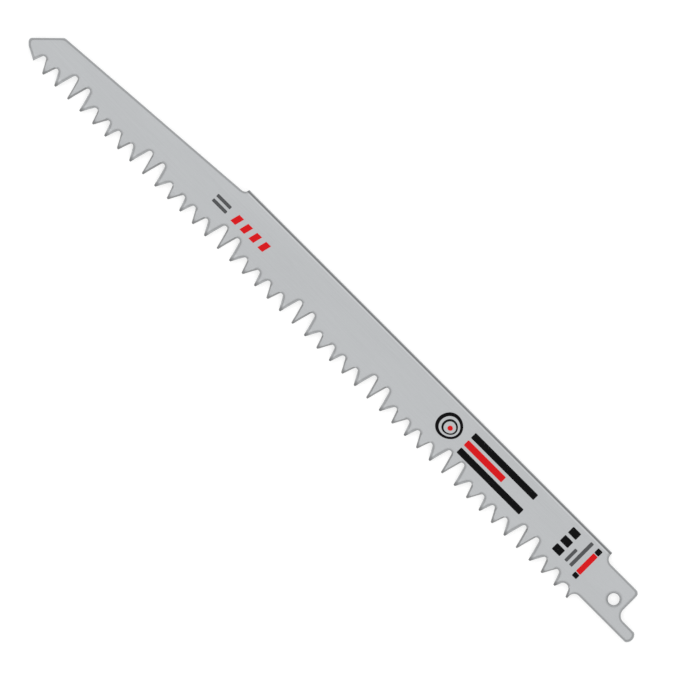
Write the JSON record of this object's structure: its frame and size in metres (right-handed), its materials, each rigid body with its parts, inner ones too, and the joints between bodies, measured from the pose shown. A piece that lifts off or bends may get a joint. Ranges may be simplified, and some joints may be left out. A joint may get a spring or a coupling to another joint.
{
  "type": "reciprocating saw blade",
  "caption": "Flat steel saw blade with ground, side-set wood teeth, deep gullets in pairs, a tapered nose and a flat shank with a hole.",
  "frame": {"origin": "middle of the hole in the shank, half way through the thickness of the steel", "axes": "+X along the blade towards the end of the shank, with the nose at -X; +Y across the blade towards the back, with the teeth at -Y; +Z through the thickness, out of the printed face"},
  "size_m": [0.2412, 0.0182, 0.002],
  "materials": {
    "blade_steel": "satin rolled steel faces with ground tooth flanks and a printed face"
  },
  "bodies": {
    "root": {"blade": "blade_steel"}
  },
  "joints": []
}
